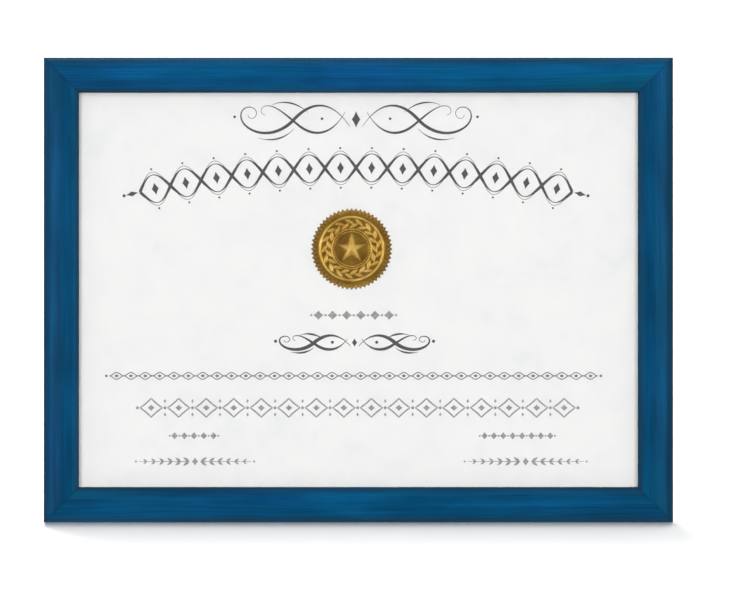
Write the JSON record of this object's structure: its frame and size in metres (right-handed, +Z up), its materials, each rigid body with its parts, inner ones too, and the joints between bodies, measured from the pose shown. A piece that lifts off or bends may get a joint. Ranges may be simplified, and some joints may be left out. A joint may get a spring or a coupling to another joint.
{
  "type": "certificate frame",
  "caption": "Landscape picture frame of mitred blue-stained wood rails with glass, a certificate with a gold seal, a velvet back with turn buttons, sawtooth hangers and a folding easel leg.",
  "frame": {"origin": "on the table, under the middle of the object's box", "axes": "+Z up, +X to the viewer's right when seen from the front; the face looks towards -Y and leans back 14 degrees"},
  "size_m": [0.3234, 0.086, 0.2336],
  "materials": {
    "stained_wood": "blue dye stain under a satin lacquer, raw on the back",
    "picture_glass": "clear polished",
    "certificate_paper": "matt parchment stock with dark print",
    "gold_foil": "embossed satin gold foil",
    "grey_board": "matt",
    "hardboard": "matt",
    "black_velvet": "flocked velvet",
    "leg_velvet": "hardboard covered in flocked velvet",
    "black_ribbon": "woven grosgrain",
    "zinc_steel": "bright zinc",
    "screw_steel": "yellow zinc",
    "bright_steel": "bright drawn wire and strip",
    "hinge_steel": "nickel plated",
    "rivet_steel": "nickel plated",
    "brass_plate": "brass plated",
    "bumper_rubber": "matt"
  },
  "bodies": {
    "frame": {"rail_top": "stained_wood", "rail_bottom": "stained_wood", "rail_left": "stained_wood", "rail_right": "stained_wood", "corner_v_nails": "bright_steel", "glass_pane": "picture_glass", "certificate_sheet": "certificate_paper", "foil_seal": "gold_foil", "filler_board": "grey_board", "back_board": "hardboard", "velvet_cover": "black_velvet", "turn_button_screws": "screw_steel", "hanger_landscape": "brass_plate", "hanger_portrait": "brass_plate", "hanger_nails": "brass_plate", "wall_bumpers": "bumper_rubber", "hinge_leaf_fixed": "hinge_steel", "hinge_pin": "hinge_steel", "hinge_rivets_board": "rivet_steel", "stay_ribbon": "black_ribbon", "ribbon_staple_board": "bright_steel"},
    "leg": {"easel_leg": "leg_velvet", "hinge_leaf_moving": "hinge_steel", "hinge_rivets_leg": "rivet_steel", "ribbon_staple_leg": "bright_steel"},
    "button_top_left": {"turn_button_top_left": "zinc_steel"},
    "button_top_right": {"turn_button_top_right": "zinc_steel"},
    "button_bottom_left": {"turn_button_bottom_left": "zinc_steel"},
    "button_bottom_right": {"turn_button_bottom_right": "zinc_steel"}
  },
  "joints": [
    {"name": "leg_hinge", "type": "hinge", "parent": "frame", "child": "leg", "pos_m": [0, 0.00856, 0.15454], "axis": [1, 0, 0], "range_deg": [-26, 0], "deforming": ["stay_ribbon"]},
    {"name": "turn_top_left", "type": "hinge", "parent": "frame", "child": "button_top_left", "pos_m": [-0.095, 0.02375, 0.22578], "axis": [0, 0.9703, -0.2419], "range_deg": [-90, 90]},
    {"name": "turn_top_right", "type": "hinge", "parent": "frame", "child": "button_top_right", "pos_m": [0.095, 0.02375, 0.22578], "axis": [0, 0.9703, -0.2419], "range_deg": [-90, 90]},
    {"name": "turn_bottom_left", "type": "hinge", "parent": "frame", "child": "button_bottom_left", "pos_m": [-0.095, -0.0311, 0.00581], "axis": [0, 0.9703, -0.2419], "range_deg": [-90, 90]},
    {"name": "turn_bottom_right", "type": "hinge", "parent": "frame", "child": "button_bottom_right", "pos_m": [0.095, -0.0311, 0.00581], "axis": [0, 0.9703, -0.2419], "range_deg": [-90, 90]}
  ]
}
